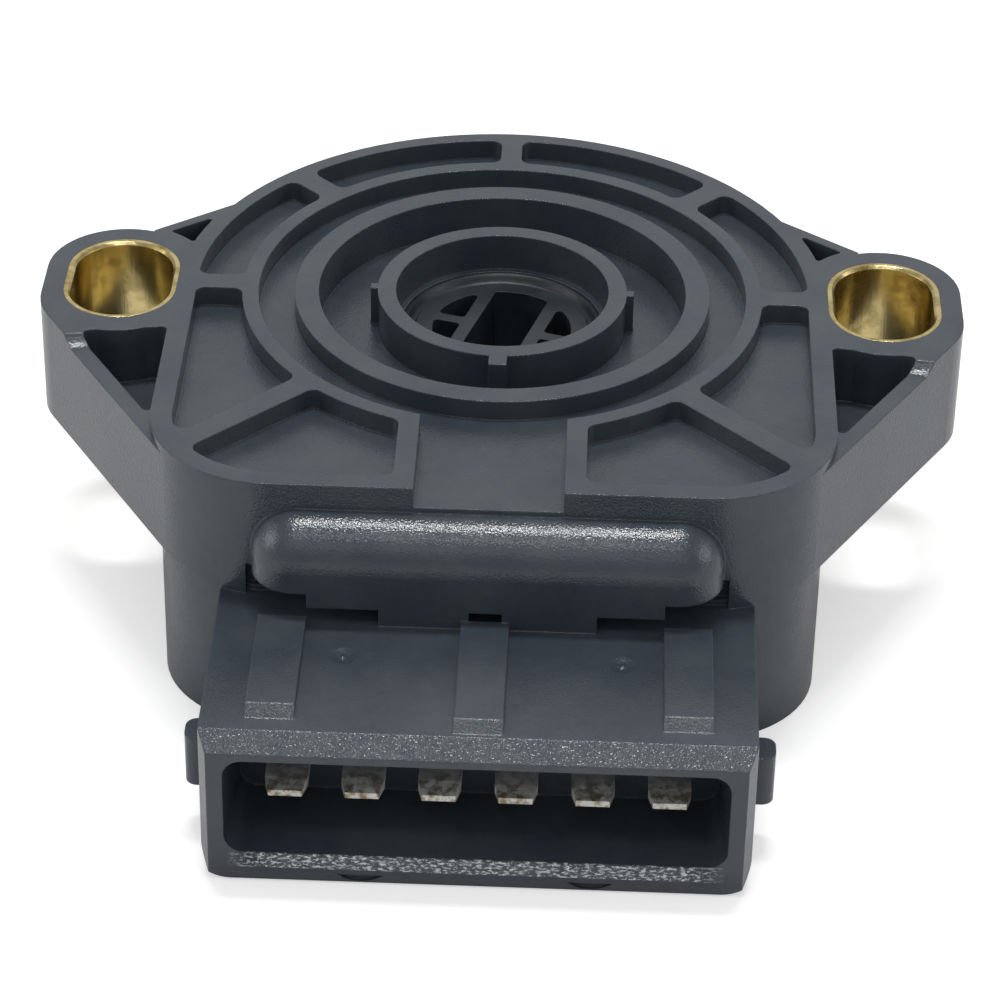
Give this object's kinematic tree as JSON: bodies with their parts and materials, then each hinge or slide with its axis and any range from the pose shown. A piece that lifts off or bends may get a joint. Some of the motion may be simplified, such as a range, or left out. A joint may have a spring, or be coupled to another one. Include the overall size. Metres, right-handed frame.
{
  "type": "throttle position sensor",
  "caption": "Rotary throttle position sensor: ribbed flange with brass-lined slotted ears, a sprung rotor with a drive slot, and a wide blade-terminal socket.",
  "frame": {"origin": "the rotor's axis, in the plane of the mounting face", "axes": "+Z out of the mounting face towards the throttle body, -Y towards the connector's mouth, +X towards the right ear seen with the connector in front"},
  "size_m": [0.0654, 0.065, 0.0204],
  "materials": {
    "housing_plastic": "fine moulded grain",
    "cover_plastic": "fine moulded grain",
    "rotor_plastic": "smooth moulded",
    "bushing_brass": "machined",
    "terminal_tinned": "tin plated",
    "seal_rubber": "smooth",
    "washer_ptfe": "satin",
    "spring_steel": "drawn",
    "wiper_bronze": "stamped",
    "board_laminate": "satin",
    "solder": "bright",
    "sealant": "glossy"
  },
  "bodies": {
    "housing": {"housing": "housing_plastic", "rear_cover": "cover_plastic", "sealant_bead": "sealant", "left_bushing": "bushing_brass", "right_bushing": "bushing_brass", "rotor_seal": "seal_rubber", "thrust_washer": "washer_ptfe", "return_spring": "spring_steel", "element_board": "board_laminate", "solder_joints": "solder", "wave_washer": "spring_steel", "terminal_1": "terminal_tinned", "terminal_2": "terminal_tinned", "terminal_3": "terminal_tinned", "terminal_4": "terminal_tinned", "terminal_5": "terminal_tinned", "terminal_6": "terminal_tinned"},
    "rotor": {"rotor": "rotor_plastic", "wiper_inner": "wiper_bronze", "wiper_outer": "wiper_bronze"}
  },
  "joints": [
    {"name": "rotor_turn", "type": "hinge", "parent": "housing", "child": "rotor", "pos_m": [0, 0, 0], "axis": [0, 0, 1], "range_deg": [0, 95], "stiffness_Nm_per_rad": 0.02, "springref_deg": -28.65, "deforming": ["return_spring"]}
  ]
}
